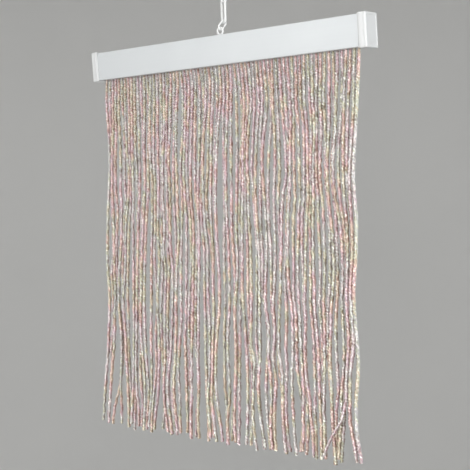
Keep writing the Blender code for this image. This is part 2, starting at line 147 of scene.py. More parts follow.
# Shade painted on a cord's two sides and in the valleys between its plies
SIDE_SHADE = 1.1
EDGE_SIDE_SHADE = 0.3
SIDE_FROM = 0.5
SIDE_FULL = 0.95
PLY_SHADE = 0.5

# Small forms that only the finish has. The cap's ramp ends lower than its lip by a share of
# what the lip stands proud. The mould seam lies on the vertices that are this far out of the
# wire's middle, in wire widths, and the eye's foot has its taper and edge as shares too.
SLOT_EDGE = 0.3 * MM
RAMP_SHARE = 0.6
PANEL_RIM = 1.1 * MM
PANEL_SLOPE = 0.3 * MM
PANEL_SUNK = 0.3 * MM
CAP_LINE_PLACE = 3 * MM
CAP_LINE_WIDTH = 1.2 * MM
CAP_LINE_DEPTH = 0.2 * MM
NECK_EDGE = 0.3 * MM
MOULD_SEAM = 0.05 * MM
SEAM_REACH = 0.49
FOOT_TAPER = 0.9
FOOT_EDGE = 0.45

# Sharpest angle that is shaded smooth, and how straight a face has to look along an axis
SMOOTH_ANGLE = math.radians(38)
STRAIGHT_ON = math.cos(math.radians(3))

# How a strand wavers, and how its hue drifts down the cord and from strip to strip
STRAND_SEED = 5
SHORT_WAVE = 0.22 * MM
SHORT_WAVE_RUN = 1.7 * MM
SHORT_WAVE_PHASES = 6.3
HUE_RINGS = 13
HUE_DRIFT = 0.22
HUE_OF_PLY = 0.2
HUE_OF_FOLD = 0.14
HUE_FOLD_RINGS = 3

# Film's material: how fine noise and a painted iridescent sheen by facing shift its hue, its
# painted shade between valley and crest and on the sides, with random dark grain specks, the
# painted glints on its crests, its gloss and its crinkles
FINE_SCALE = 900
FINE_HUE_SHIFT = 0.3
# Painted iridescent sheen: the hue shifts with how far a surface faces one fixed direction,
# FACING_WAY
FACING_WAY = (0.6, -0.5, 0.62)
FACING_HUE_SHIFT = 0.14
BROAD_SCALE = 120
FOLD_DEPTH = 0.85
DEPTH_LEVEL = 0.32
GRAIN_SCALE = 620
GRAIN_DEPTH = 1.1
# Painted glints: the grain level where they start, how fast they brighten and their largest share
GLINT_FROM = 0.53
GLINT_GAIN = 10.0
GLINT_SHARE = 0.9
FILM_METALLIC = 0.3
FILM_COAT = 0.3
FILM_COAT_ROUGHNESS = 0.2
FILM_NANOMETRES = 380.0
FILM_IOR = 1.4
FILM_ROUGHNESS = 0.27
FILM_ROUGHNESS_PLAY = 0.25
CRINKLE_SCALE = 1500
CRINKLE_STRETCH = (1, 1, 0.45)
CRINKLE_BUMP = 0.5
CRINKLE_DEPTH = 0.15 * MM

# Pastels of the film in the order in which they run into each other
PEARL_TONES = (
    ("rose", 246, 207, 211),
    ("lilac", 232, 213, 229),
    ("silver", 242, 232, 226),
    ("pale blue", 223, 224, 232),
    ("sage", 219, 225, 198),
    ("cream", 240, 226, 201),
    ("blush", 245, 213, 203),
)
# Tone that painted shade darkens towards in the cord's valleys and on its sides; the random grain
# and broad noise also darken towards it in specks
PAINTED_SHADE_TONE = (118, 95, 83)
# Painted glint tone, mixed into the colour on the crests
PAINTED_GLINT_TONE = (255, 252, 246)

# White plastics: light and shaded tone, roughness, and strength of clouds, grain and lines
WHITES = {
    "rail_white": ((204, 208, 210), (195, 199, 202), 0.28, 0.6, 0.3, 0.8),
    "cap_white": ((211, 213, 214), (202, 204, 205), 0.3, 0.6, 0.9, 0),
    "hanger_white": ((226, 227, 227), (213, 215, 215), 0.22, 0.8, 0.5, 0),
    "strip_white": ((236, 234, 230), (216, 212, 206), 0.4, 0.8, 0.6, 0.6),
}
PLASTIC_IOR = 1.5
CLOUD_SCALE = 28
SKIN_GRAIN_SCALE = 2600
LINES_SCALE = 60
LINES_STRETCH = (0.05, 14, 14)
LINES_SHADE = 0.35
SKIN_ROUGHNESS_PLAY = 0.35
SKIN_BUMP = 0.25
SKIN_DEPTH = 0.05 * MM

# Floor
FLOOR_HEIGHT = -1.45
FLOOR_RADIUS = 2.6
FLOOR_SWEEP = 1.2
FLOOR_STEPS = 12
FLOOR_WALL = 1.6
FLOOR_LIGHT = (227, 227, 226)
FLOOR_SHADED = (222, 222, 221)
FLOOR_ROUGHNESS = 0.9
FLOOR_CLOUD_SCALE = 3

# Lamps: name, place, size, power and colour
LIGHT_AIM = (0, 0, -0.25)
LIGHTS = (
    ("key_light", (0.72, -1.1, -0.15), 0.4, 13.5, (1, 0.985, 0.965)),
    ("side_light", (-0.9, -1.7, 0.0), 0.7, 6, (1, 0.995, 0.99)),
    ("fill_light", (1.8, -0.4, 0.1), 0.8, 12, (0.96, 0.98, 1)),
    ("back_light", (-0.6, 1.9, 0.8), 1.0, 7, (1, 1, 1)),
    ("low_back_light", (0.05, 1.4, 0.1), 0.4, 6, (1, 0.99, 0.98)),
)
WORLD_COLOUR = (0.96, 0.98, 1, 1)
WORLD_STRENGTH = 0.13

# Lamps high up that light the floor's sweep all round
WALL_LIGHTS = 4
WALL_LIGHT_POWER = 9.5
WALL_LIGHT_SIZE = 1.0
WALL_LIGHT_REACH = 1.2
WALL_LIGHT_HEIGHT = 1.3

# The curtain's two side edges, as height and place along the rail, in millimetres
LEFT_EDGE = (
    (-75, -150.3), (-105, -149.9), (-135, -146.4), (-170, -144.7), (-205, -147.3), (-245, -149.2),
    (-270, -149.3), (-298, -145), (-325, -145.4), (-365, -149.4), (-395, -152.7), (-440, -156),
)
RIGHT_EDGE = (
    (-75, 147), (-95, 145.8), (-135, 143.5), (-185, 140.3), (-225, 143.7), (-255, 143),
    (-283, 140.2), (-315, 142.5), (-345, 145.7), (-380, 144), (-405, 144.5), (-440, 151.5),
)

# How blunt an opening's two ends are: 1 is a plain sine bow, and less is blunter
PARTING_POINT = 0.7

# Openings between clumps of strands, in millimetres: height of the top and the bottom,
# place along the rail at the top, the middle and the bottom, and width
PARTINGS = (
    (-127, -208, -134, -134.5, -134, 6), (-208, -279, -132, -133, -134.5, 7),
    (-217, -279, -144.5, -145, -145, 5.5), (-108, -136, -116.5, -116.5, -116.5, 2.5),
    (-157, -196, -122.5, -121.3, -120.5, 4.5), (-188, -214, -128, -126, -124.5, 2.5),
    (-156, -192, -111, -111, -111, 3), (-215, -425, -116, -116, -115.5, 9.5),
    (-178, -382, -89, -93.5, -91.5, 9), (-98, -145, -77.6, -77.6, -77.2, 3),
    (-88, -151, -65.5, -66.7, -66.5, 3.4), (-80, -180, -51.3, -52, -54.3, 6.4),
    (-172, -234, -53, -51.8, -51.3, 5), (-206, -261, -61.3, -60.9, -59.3, 6),
    (-206, -244, -74, -73, -72, 3), (-238, -291, -82.5, -81, -80.5, 6),
    (-288, -323, -84.5, -84, -83.3, 3), (-297, -352, -74.5, -73.6, -73.3, 3.4),
    (-320, -361, -79, -80, -78.6, 4.4), (-348, -390, -84, -84.5, -86, 4.4),
    (-266, -370, -62.3, -63.4, -65, 5.3), (-288, -323, -53, -53, -53, 3),
    (-208, -335, -45.2, -46.8, -46, 5.2), (-322, -480, -47.5, -47.5, -44, 11.5),
    (-278, -352, -36, -37.4, -37.7, 3), (-357, -402, -32.6, -32.1, -31.5, 4.5),
    (-84, -215, -29, -30, -30.8, 3.4), (-236, -400, -24.4, -24.4, -24, 6),
    (-375, -500, -23.5, -21.5, -19, 12), (-126, -194, -18, -19.6, -20.3, 4.3),
    (-303, -384, -16.3, -15.8, -15.5, 4.3), (-99, -163, -8.3, -9.4, -11.2, 3),
    (-258, -314, -7.8, -6.8, -6.5, 3.5), (-117, -280, -1, -2.6, 0.4, 8.5),
    (-268, -330, 0.8, 0.8, 0.6, 4.2), (-306, -424, 1, -1.8, 4, 9),
    (-78, -242, 13, 14.4, 14.3, 5.5), (-232, -312, 9, 11.6, 10.8, 3.8),
    (-308, -380, 10.6, 12, 12.8, 9), (-358, -403, 6.2, 7, 8.6, 5.3),
    (-114, -183, 36.5, 32.8, 31.3, 4.3), (-108, -153, 49.8, 47.6, 44, 3.3),
    (-148, -193, 49.2, 49.2, 50.8, 3.4), (-177, -274, 44.5, 47.5, 49.2, 4),
    (-205, -345, 34, 37.2, 35.5, 4), (-290, -480, 22.5, 25.2, 22, 11),
    (-296, -366, 46, 48.6, 47.3, 6), (-352, -432, 47.3, 46.9, 54.8, 5.2),
    (-240, -311, 54, 53.5, 52.6, 3.3), (-350, -404, 53.5, 54.4, 55.2, 5),
    (-128, -192, 58, 57.8, 57.6, 2.9), (-338, -362, 61.4, 61.4, 61.4, 3.3),
    (-143, -194, 69, 69.8, 72, 3.5), (-280, -353, 69.8, 69.4, 67.7, 5.8),
    (-366, -480, 65.3, 66.5, 76, 9), (-238, -292, 77.3, 77.9, 78, 4.3),
    (-328, -372, 78.6, 76.9, 74.4, 3.6), (-362, -470, 74.6, 77.5, 90, 8.5),
    (-124, -212, 83, 83.2, 85.6, 4.4), (-240, -300, 86.6, 87.6, 88.1, 3.3),
    (-318, -390, 86.5, 88, 92, 5), (-368, -421, 83.2, 86, 87.8, 5.6),
    (-308, -382, 97.8, 97.9, 100.6, 8), (-406, -470, 99.5, 98, 97, 8),
    (-238, -291, 104, 104.7, 106.2, 4.2), (-370, -399, 106.4, 105.4, 102.6, 4),
    (-196, -252, 108, 109, 110.4, 2.9), (-378, -480, 107, 107.5, 109, 7),
    (-246, -300, 115.4, 115.6, 113.7, 3.2), (-368, -480, 115.7, 118.3, 118.6, 7.5),
    (-86, -150, 128.8, 127, 126, 2.2), (-146, -214, 126, 124, 126.8, 2.7),
    (-188, -232, 117.4, 120.3, 122.3, 3), (-226, -302, 127.2, 128.4, 127, 3.4),
    (-290, -372, 126.8, 128.9, 129.6, 8), (-372, -425, 129, 127.3, 127.8, 7),
    (-366, -386, 134.4, 134.4, 134.4, 4), (-396, -480, 135, 138, 139, 13),
    (-336, -408, 142.8, 142, 142, 5), (-248, -293, -124.4, -125.8, -125, 4),
    (-308, -424, -136, -135, -144, 12), (-390, -480, -130, -136, -140, 12),
    (-365, -480, -126.2, -124.5, -122.5, 9), (-347, -410, -101.6, -100.6, -97, 3.6),
    (-388, -480, -109, -109.3, -110, 5.6), (-388, -480, -75, -78.8, -79.5, 11.5),
    (-408, -480, -71, -69, -68, 8), (-368, -412, -55.6, -55.1, -54, 3.3),
    (-405, -480, 36, 37, 38, 7.5), (-374, -470, 40, 42.5, 52, 6),
)

# A strand whose end swings across in front of its neighbours: which one, how far along and
# how far forward. It steps forward between the two heights and swings along below them.
SWUNG_ENDS = ((66, -16, -6),)
SWING_READY = -372
SWING_TOP = -392

# Slow sway of the whole curtain, which runs back and to the left: size in millimetres, share
# along the rail, turn from strand to strand, fall in a radian, and the heights where it starts
# and is full
SWAY = 2.5
SWAY_SLANT = -0.74
SWAY_TURN = 0.11
SWAY_FALL = 80
SWAY_TOP = -140
SWAY_FULL = -400

# How the strands settle between the partings, in millimetres and turns
LEVEL_STEP = 4
LAYOUT_BOTTOM = -440
PARTING_MARGIN = 1.6
LEAST_STEP = 1.1
LEAST_PAIR = 3.3
APART_TURNS = 2
SETTLE_TURNS = 160
SPREAD_RATE = 0.2
ROW_SMOOTHINGS = 4
LEVEL_TURNS = 40

# Unevenness of the strands' spacing: its share, turn from strand to strand, and fall in a radian
WAVERS = ((0.3, 2.4, 31), (0.22, 1.1, -47))
WAVER_TOP = -80
WAVER_FULL = -130

# Unevenness of the cut ends: height, turn from strand to strand, and start
END_WAVERS = ((1.7, 1.9, 0), (1.3, 0.83, 1))
LONGER_ENDS = (9, 15, 57, 62)
SHORTER_ENDS = (66, 67)
END_CHANGE = 4


def smooth(start, stop, value):
    t = np.clip((value - start) / (stop - start), 0, 1)
    return t * t * (3 - 2 * t)


def edge_at(edge, height):
    drops = [-place[0] for place in edge]
    return float(np.interp(-height, drops, [place[1] for place in edge]))


def parting_at(parting, height):
    """Centre and width of one opening at a height, on a parabola with pointed ends."""
    top, bottom, at_top, at_middle, at_bottom, width = parting
    t = (top - height) / (top - bottom)
    centre = (1 - t) * (1 - 2 * t) * at_top + 4 * t * (1 - t) * at_middle
    centre += t * (2 * t - 1) * at_bottom
    return centre, width * math.sin(math.pi * t) ** PARTING_POINT


def keep_apart(row):
    """Pushes strands that are too close in the same layer away from each other."""
    for apart, least in ((1, LEAST_STEP), (2, LEAST_PAIR)):
        for _ in range(APART_TURNS):
            short = np.clip(least - (row[apart:] - row[:-apart]), 0, None)
            row[:-apart] -= short / 2
            row[apart:] += short / 2


def settle_row(row, height, openings):
    """Spreads one level's strands between the edges while the openings part them."""
    index = np.arange(STRAND_COUNT)
    first, last = edge_at(LEFT_EDGE, height), edge_at(RIGHT_EDGE, height)
    waver = sum(share * np.sin(turn * index[1:] + height / fall) for share, turn, fall in WAVERS)
    uneven = 1 + waver * smooth(WAVER_TOP, WAVER_FULL, height)
    wish = uneven * (last - first) / uneven.sum()
    for _ in range(SETTLE_TURNS):
        pull = SPREAD_RATE * (row[1:] - row[:-1] - wish)
        row[:-1] += pull
        row[1:] -= pull
        for left, centre, half in openings:
            row[left] -= max(0, row[left] - centre + half) / 2
            row[left + 1] += max(0, centre + half - row[left + 1]) / 2
        keep_apart(row)
        row[0], row[-1] = first, last
    return row


def strand_layout():
    """Heights, and each strand's place along the rail at each height, in millimetres."""
    heights = np.arange(LEFT_EDGE[0][0], LAYOUT_BOTTOM - 1, -LEVEL_STEP)
    row = np.linspace(ROOT_LEFT, ROOT_RIGHT, STRAND_COUNT)
    rows = [row.copy()]
    parted = {}
    for height in heights[1:]:
        openings = []
        for number, parting in enumerate(PARTINGS):
            if parting[1] < height < parting[0]:
                centre, width = parting_at(parting, height)
                if number not in parted:
                    parted[number] = int(np.argmin(abs((row[1:] + row[:-1]) / 2 - centre)))
                openings.append((parted[number], centre, width / 2 + PARTING_MARGIN))
        row = settle_row(row, height, openings)
        rows.append(row.copy())
    rows = np.array(rows)
    for _ in range(ROW_SMOOTHINGS):
        rows[1:-1] = (rows[:-2] + 2 * rows[1:-1] + rows[2:]) / 4
    return heights, rows


def strand_ends():
    """Height of each strand's cut end, in millimetres: uneven, with a few longer ones."""
    index = np.arange(STRAND_COUNT)
    waver = sum(height * np.sin(turn * index + start) for height, turn, start in END_WAVERS)
    ends = STRAND_END + waver
    ends[list(LONGER_ENDS)] -= END_CHANGE
    ends[list(SHORTER_ENDS)] += END_CHANGE
    return ends


def strand_depths(across):
    """Alternate strands step forward and back wherever two of them close up."""
    room = (STRAND_SIDE + STRAND_GAP) / MM
    close = np.diff(across, axis=1) < room
    held = close.copy()
    held[:-1] |= close[1:]
    held[1:] |= close[:-1]
    busy = np.zeros(across.shape, dtype=bool)
    busy[:, :-1] |= held
    busy[:, 1:] |= held
    busy[0] = False
    side = np.where(np.arange(STRAND_COUNT) % 2 == 0, -1, 1)
    return busy * side * room / 2


def rail_matrix():
    return Matrix.Translation(RAIL_CENTRE) @ Matrix.Rotation(LEAN, 4, "X")


def strip_mouth():
    """Middle of the neck's lower face, where the strands come out."""
    flange_bottom = -RAIL_HEIGHT / 2 + RAIL_WALL + STRIP_SEAT
    return rail_matrix() @ Vector((0, 0, flange_bottom - NECK_HEIGHT))


def strand_lines():
    """Each strand's line as the solids have it, with the layout's finer rows in between."""
    heights, rows = strand_layout()
    root = strip_mouth()
    shared = np.linspace(root.z / MM, LOWEST_SHARED_LEVEL, STRAND_LEVELS)
    levels = np.vstack([np.repeat(shared[:, None], STRAND_COUNT, axis=1), strand_ends()])
    laid = np.empty_like(levels)
    for strand in range(STRAND_COUNT):
        laid[:, strand] = np.interp(-levels[:, strand], -heights, rows[:, strand])
    across = laid.copy()
    for _ in range(LEVEL_TURNS):
        for row in across[1:]:
            keep_apart(row)
    wave = np.sin(SWAY_TURN * np.arange(STRAND_COUNT) + levels / SWAY_FALL)
    sway = SWAY * wave * smooth(SWAY_TOP, SWAY_FULL, levels)
    across += SWAY_SLANT * sway
    pressed = PRESSED_TOP + (PRESSED_FOOT - PRESSED_TOP) * smooth(SWAY_TOP, SWAY_FULL, levels)
    depth = strand_depths(across) * pressed
    for strand, along, forward in SWUNG_ENDS:
        height = levels[:, strand]
        across[:, strand] += along * smooth(SWING_TOP, height[-1], height)
        depth[:, strand] += (forward - depth[:, strand]) * smooth(SWING_READY, SWING_TOP, height)
    depth += sway
    lines = []
    for strand in range(STRAND_COUNT):
        drop = -levels[:, strand]
        fine = np.arange(drop[0], drop[-1], LEVEL_STEP / 2)
        fine = np.append(fine, drop[-1])
        place = np.interp(fine, -heights, rows[:, strand])
        place += np.interp(fine, drop, across[:, strand] - laid[:, strand])
        back = np.interp(fine, drop, depth[:, strand])
        line = np.column_stack([place * MM, back * MM + root.y, -fine * MM])
        for _ in range(LINE_SMOOTHINGS):
            line[1:-1] = (line[:-2] + 2 * line[1:-1] + line[2:]) / 4
        lines.append(line)
    return lines


def deselect():
    bpy.ops.object.select_all(action="DESELECT")


def choose(piece):
    """Selects one piece and nothing else, and makes it the active one."""
    deselect()
    piece.select_set(True)
    bpy.context.view_layer.objects.active = piece


def edit(piece):
    """Opens one piece in edit mode with nothing else selected."""
    choose(piece)
    bpy.ops.object.mode_set(mode="EDIT")


def leave():
    bpy.ops.object.mode_set(mode="OBJECT")


def pick(piece, kind, wanted):
    """In edit mode, selects only the faces, edges or vertices that wanted() holds for."""
    bpy.ops.mesh.select_mode(type=kind)
    bpy.ops.mesh.select_all(action="DESELECT")
    cage = bmesh.from_edit_mesh(piece.data)
    cage.normal_update()
    items = {"FACE": cage.faces, "EDGE": cage.edges, "VERT": cage.verts}[kind]
    for item in items:
        if wanted(item):
            item.select_set(True)
    cage.select_flush_mode()
    bmesh.update_edit_mesh(piece.data)


def runs_along(edge, least):
    return abs(edge.verts[0].co.x - edge.verts[1].co.x) > least


def looks_along(face, way):
    """Whether a face looks straight along an axis, or nearly so."""
    return face.normal.dot(Vector(way)) > STRAIGHT_ON


def apply_place(piece):
    choose(piece)
    bpy.ops.object.transform_apply(location=True, rotation=True, scale=True)


def start_cube(name, size, centre):
    deselect()
    bpy.ops.mesh.primitive_cube_add(size=1, location=centre, scale=size)
    made = bpy.context.object
    made.name = name
    apply_place(made)
    return made


def combine(piece, operation, other):
    """Boolean of two pieces, applied, after which the second one is gone."""
    step = piece.modifiers.new("shape", "BOOLEAN")
    step.operation = operation
    step.object = other
    choose(piece)
    bpy.ops.object.modifier_apply(modifier=step.name)
    bpy.data.objects.remove(other, do_unlink=True)


def cut_away(piece, size, centre):
    combine(piece, "DIFFERENCE", start_cube("cut", size, centre))


def put_in_place(piece, matrix):
    piece.matrix_world = matrix
    apply_place(piece)


def dress(piece, look, nodes):
    """Shades a finished piece, gives it its material and lets it ride in place of its solids."""
    choose(piece)
    bpy.ops.object.shade_smooth_by_angle(angle=SMOOTH_ANGLE)
    piece.data.materials.clear()
    piece.data.materials.append(look)
    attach(piece, "root")
    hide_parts(*nodes)


def make_headrail(look):
    """Extruded box rail: rounded outside, a chamber above and the strip's groove below."""
    rail = start_cube("headrail_body", (RAIL_LENGTH, RAIL_DEPTH, RAIL_HEIGHT), (0, 0, 0))
    edit(rail)
    pick(rail, "EDGE", lambda edge: runs_along(edge, RAIL_LENGTH / 2))
    bpy.ops.mesh.bevel(offset=RAIL_EDGE, segments=5, affect="EDGES")
    leave()
    through = WIDTH * 1.1
    inner_depth = RAIL_DEPTH - 2 * RAIL_WALL
    groove_floor = -RAIL_HEIGHT / 2 + RAIL_WALL
    groove_roof = groove_floor + GROOVE_HEIGHT
    chamber_floor = groove_roof + RAIL_WALL
    chamber_roof = RAIL_HEIGHT / 2 - RAIL_WALL
    chamber = (through, inner_depth, chamber_roof - chamber_floor)
    cut_away(rail, chamber, (0, 0, (chamber_floor + chamber_roof) / 2))
    groove = (through, inner_depth, GROOVE_HEIGHT)
    cut_away(rail, groove, (0, 0, (groove_floor + groove_roof) / 2))
    cut_away(rail, (through, SLOT_WIDTH, 4 * RAIL_WALL), (0, 0, -RAIL_HEIGHT / 2))

    def at_slot(place):
        beside = abs(abs(place.y) - SLOT_WIDTH / 2) < 2 * TINY
        return beside and place.z < groove_floor - RAIL_WALL / 2

    edit(rail)
    pick(rail, "EDGE", lambda edge: runs_along(edge, RAIL_LENGTH / 2)
         and all(at_slot(vert.co) for vert in edge.verts))
    bpy.ops.mesh.bevel(offset=SLOT_EDGE, segments=3, affect="EDGES")
    leave()
    put_in_place(rail, rail_matrix())
    dress(rail, look, ["headrail"])


def draw_in(less, along):
    """In edit mode, makes a cap's selected section this much less deep and high."""
    bpy.ops.transform.resize(value=(1, 1 - less / CAP_DEPTH, 1 - less / CAP_HEIGHT),
                             center_override=(along, 0, 0))


def make_cap(side, look):
    """Moulded cap: round lip that stands proud of the rail, soft ramp down to it, fine line
    round the lip and sunk end panel."""
    node = "end_cap_right" if side > 0 else "end_cap_left"
    straight = CAP_END_WALL + CAP_LIP
    centre = (side * (WIDTH - straight) / 2, 0, 0)
    cap = start_cube(node + "_body", (straight, CAP_DEPTH, CAP_HEIGHT), centre)
    inner = WIDTH / 2 - straight
    edit(cap)
    pick(cap, "FACE", lambda face: looks_along(face, (-side, 0, 0)))
    bpy.ops.mesh.extrude_region_move(TRANSFORM_OT_translate={"value": (-side * CAP_RAMP, 0, 0)})
    draw_in(2 * (CAP_PROUD - CAP_SEAT) * RAMP_SHARE, side * (inner - CAP_RAMP))
    pick(cap, "EDGE", lambda edge: runs_along(edge, CAP_LIP / 2)
         or all(vert.co.x * side > WIDTH / 2 - TINY for vert in edge.verts))
    bpy.ops.mesh.bevel(offset=CAP_EDGE, segments=6, affect="EDGES")
    line = side * (WIDTH / 2 - CAP_LINE_PLACE)
    for along in (-CAP_LINE_WIDTH / 2, 0, CAP_LINE_WIDTH / 2):
        bpy.ops.mesh.select_all(action="SELECT")
        bpy.ops.mesh.bisect(plane_co=(line + along, 0, 0), plane_no=(1, 0, 0))
    pick(cap, "VERT", lambda vert: abs(vert.co.x - line) < TINY)
    draw_in(2 * CAP_LINE_DEPTH, line)
    pick(cap, "FACE", lambda face: looks_along(face, (side, 0, 0)))
    bpy.ops.mesh.inset(thickness=PANEL_RIM, depth=0)
    bpy.ops.mesh.inset(thickness=PANEL_SLOPE, depth=-PANEL_SUNK)
    leave()
    socket = WIDTH / 2 - CAP_END_WALL
    hollow = (socket, RAIL_DEPTH + 2 * CAP_SEAT, RAIL_HEIGHT + 2 * CAP_SEAT)
    cut_away(cap, hollow, (side * socket / 2, 0, 0))
    put_in_place(cap, rail_matrix())
    dress(cap, look, [node])


def make_strip():
    """Backing strip: a flange with a neck that reaches down through the rail's slot."""
    flange_bottom = -RAIL_HEIGHT / 2 + RAIL_WALL + STRIP_SEAT
    length = STRIP_RIGHT - STRIP_LEFT
    centre = ((STRIP_LEFT + STRIP_RIGHT) / 2, 0, flange_bottom + FLANGE_THICK / 2)
    strip = start_cube("strand_strip", (length, FLANGE_WIDTH, FLANGE_THICK), centre)
    edit(strip)
    for side in (-1, 1):
        bpy.ops.mesh.select_all(action="SELECT")
        bpy.ops.mesh.bisect(plane_co=(0, side * NECK_WIDTH / 2, 0), plane_no=(0, 1, 0))
    pick(strip, "FACE", lambda face: looks_along(face, (0, 0, -1))
         and abs(face.calc_center_median().y) < NECK_WIDTH / 4)
    bpy.ops.mesh.extrude_region_move(TRANSFORM_OT_translate={"value": (0, 0, -NECK_HEIGHT)})
    pick(strip, "EDGE", lambda edge: runs_along(edge, length / 2)
         and all(v.co.z < flange_bottom - NECK_HEIGHT / 2 for v in edge.verts))
    bpy.ops.mesh.bevel(offset=NECK_EDGE, segments=3, affect="EDGES")
    leave()
    put_in_place(strip, rail_matrix())
    return strip


def half_ring(side, width, height, wire):
    """Upper or lower half of an upright moulded ring in the XZ plane, with its mould seam."""
    deselect()
    major = (width - wire) / 2
    bpy.ops.mesh.primitive_torus_add(major_radius=major, minor_radius=wire / 2,
                                     major_segments=56, minor_segments=20,
                                     rotation=(math.pi / 2, 0, 0))
    half = bpy.context.object
    apply_place(half)
    edit(half)
    pick(half, "VERT", lambda vert: side * vert.co.z < -TINY)
    bpy.ops.mesh.delete(type="VERT")
    pick(half, "VERT", lambda vert: abs(vert.co.y) < TINY
         and math.hypot(vert.co.x, vert.co.z) > major + wire * SEAM_REACH)
    bpy.ops.transform.shrink_fatten(value=MOULD_SEAM)
    bpy.ops.mesh.select_all(action="SELECT")
    bpy.ops.transform.translate(value=(0, 0, side * (height - width) / 2))
    leave()
    return half


def start_ring(name, widths, height, wire):
    """Upright ring of two moulded halves, each of its own width, with bridged sides."""
    ring, lower = (half_ring(side, width, height, wire) for side, width in zip((1, -1), widths))
    ring.name = name
    choose(ring)
    lower.select_set(True)
    bpy.ops.object.join()
    edit(ring)
    for side in (-1, 1):
        pick(ring, "EDGE", lambda edge: edge.is_boundary and side * edge.verts[0].co.x > 0)
        bpy.ops.mesh.bridge_edge_loops()
    bpy.ops.mesh.select_all(action="SELECT")
    bpy.ops.mesh.normals_make_consistent(inside=False)
    leave()
    return ring


def make_eye(look):
    """Eye on a round foot with a soft rim, seated on the rail's top."""
    base = RAIL_HEIGHT / 2 + CAP_SEAT
    deselect()
    centre = (EYE_ALONG, 0, base + EYE_FOOT / 2)
    bpy.ops.mesh.primitive_cylinder_add(vertices=48, radius=EYE_FOOT_RADIUS, depth=EYE_FOOT,
                                        location=centre)
    foot = bpy.context.object
    foot.name = "rail_eye_body"
    apply_place(foot)
    edit(foot)
    pick(foot, "FACE", lambda face: looks_along(face, (0, 0, 1)))
    bpy.ops.transform.resize(value=(FOOT_TAPER, FOOT_TAPER, 1),
                             center_override=(EYE_ALONG, 0, base + EYE_FOOT))
    bpy.ops.mesh.bevel(offset=EYE_FOOT * FOOT_EDGE, segments=4, affect="EDGES")
    leave()
    ring = start_ring("eye_ring", (EYE_WIDTH, EYE_WIDTH), EYE_HEIGHT, WIRE_EYE)
    put_in_place(ring, Matrix.Translation((EYE_ALONG, 0, base + EYE_HEIGHT / 2)))
    combine(foot, "UNION", ring)
    put_in_place(foot, rail_matrix())
    dress(foot, look, ["rail_eye"])


def make_link(node, bottom, top, turn, widths, wire, look):
    """Oval link whose wire's middle runs through the two bearing points."""
    rise = (top - bottom).normalized()
    across = Vector((math.cos(turn), math.sin(turn), 0))
    across = (across - rise * across.dot(rise)).normalized()
    link = start_ring(node + "_body", widths, (top - bottom).length + wire, wire)
    turned = Matrix((across, rise.cross(across), rise)).transposed().to_4x4()
    put_in_place(link, Matrix.Translation((top + bottom) / 2) @ turned)
    dress(link, look, [node])


def eye_bearing():
    """Middle of the eye's wire where the connector link pulls, and the wire's direction there."""
    radius = (EYE_WIDTH - WIRE_EYE) / 2
    top = RAIL_HEIGHT / 2 + CAP_SEAT + EYE_HEIGHT
    centre = Vector((EYE_ALONG, 0, top - WIRE_EYE / 2 - radius))
    outward = Vector((math.sin(EYE_BEARING), 0, math.cos(EYE_BEARING)))
    along = rail_matrix().to_3x3() @ Vector((outward.z, 0, -outward.x))
    return rail_matrix() @ (centre + outward * radius), along


def make_chain(look):
    """Connector link, lower chain link and upper chain link, each bearing on the next."""
    eye, along = eye_bearing()
    pull = CHAIN_BOTTOM - eye
    rise = (pull - along * pull.dot(along)).normalized()
    connector_bottom = eye - rise * (WIRE_EYE / 2 + LINK_GAP + CONNECTOR_WIRE / 2)
    rise = (CHAIN_BOTTOM - connector_bottom).normalized()
    connector_top = CHAIN_BOTTOM + rise * (LINK_WIRE / 2 + LINK_GAP + CONNECTOR_WIRE / 2)
    make_link("connector_link", connector_bottom, connector_top, CONNECTOR_TURN,
              (CONNECTOR_WIDTH, CONNECTOR_WIDTH), CONNECTOR_WIRE, look)
    widths = (LINK_WIDTH, LINK_FOOT)
    make_link("chain_link_lower", CHAIN_BOTTOM, CHAIN_TOP, CHAIN_TURN,
              widths, LINK_WIRE, look)
    upper_top = HOOK_POINT + Vector((0, 0, LINK_WIRE / 2))
    pull = (upper_top - CHAIN_TOP).normalized()
    upper_bottom = CHAIN_TOP - pull * (LINK_WIRE + LINK_GAP)
    make_link("chain_link_upper", upper_bottom, upper_top, CHAIN_TURN + math.pi / 2,
              widths, LINK_WIRE, look)


def crumple(rng, count, columns, every):
    """Random folds from -1 to 1 along a cord: new values every few rings, straight between."""
    knots = max(LEAST_KNOTS, count // every + 2)
    values = rng.uniform(-1, 1, (knots, columns))
    places = np.cumsum(rng.uniform(*KNOT_STEPS, (knots, columns)), axis=0)
    places = (places - places[0]) / (places[-1] - places[0]) * count
    steps = np.arange(count)
    folds = [np.interp(steps, places[:, column], values[:, column]) for column in range(columns)]
    return np.column_stack(folds)


def cord_middle(line, rng):
    """How far along a cord its rings lie, their middles, and how free each is of the root."""
    steps = np.linalg.norm(np.diff(line, axis=0), axis=1)
    length = np.concatenate([[0], np.cumsum(steps)])
    count = int(length[-1] / RING_STEP)
    along = np.linspace(0, length[-1], count)
    middle = np.column_stack([np.interp(along, length, line[:, axis]) for axis in range(3)])
    free = smooth(0, ROOT_SPREAD, along)
    phases = [rng.uniform(0, SHORT_WAVE_PHASES) for _ in range(2)]
    for axis, phase in enumerate(phases):
        bend = WAVE_PLAY * crumple(rng, count, 1, WAVE_RINGS)[:, 0]
        wave = SHORT_WAVE * np.sin(along / SHORT_WAVE_RUN + phase + bend)
        middle[:, axis] += free * wave
    return along, middle, free


def cord_hues(count, points, rng):
    """Hue of each ring's points: a slow drift, a step from ply to ply, and play in the folds."""
    drift = np.cumsum(rng.normal(0, 1, count // HUE_RINGS + 3)) * HUE_DRIFT + rng.uniform(0, 1)
    slow = np.interp(np.arange(count) / HUE_RINGS, np.arange(len(drift)), drift)
    own = np.repeat(rng.uniform(-0.5, 0.5, PLIES) * HUE_OF_PLY, len(PLY_SECTION))
    return slow[:, None] + own + HUE_OF_FOLD * crumple(rng, count, points, HUE_FOLD_RINGS)


